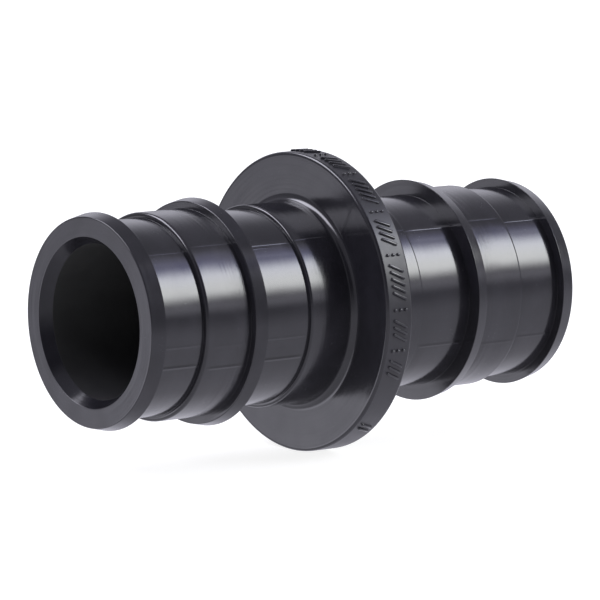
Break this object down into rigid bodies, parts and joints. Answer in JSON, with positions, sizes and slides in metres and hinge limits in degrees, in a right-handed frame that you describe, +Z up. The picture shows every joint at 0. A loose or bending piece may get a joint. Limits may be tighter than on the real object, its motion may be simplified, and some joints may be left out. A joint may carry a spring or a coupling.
{
  "type": "pipe coupling",
  "caption": "One-piece plastic coupling for expansion-fit pipe: two ribbed spigots on either side of a round stop flange, with a straight bore.",
  "frame": {"origin": "centre of the stop flange, on the axis of the bore", "axes": "+X along the bore; +Z up; the raised marks on the flange's rim face -Y"},
  "size_m": [0.0692, 0.0392, 0.0392],
  "materials": {
    "moulding": "gloss",
    "marks": "gloss"
  },
  "bodies": {
    "root": {"coupling_body": "moulding", "rim_marks": "marks"}
  },
  "joints": []
}
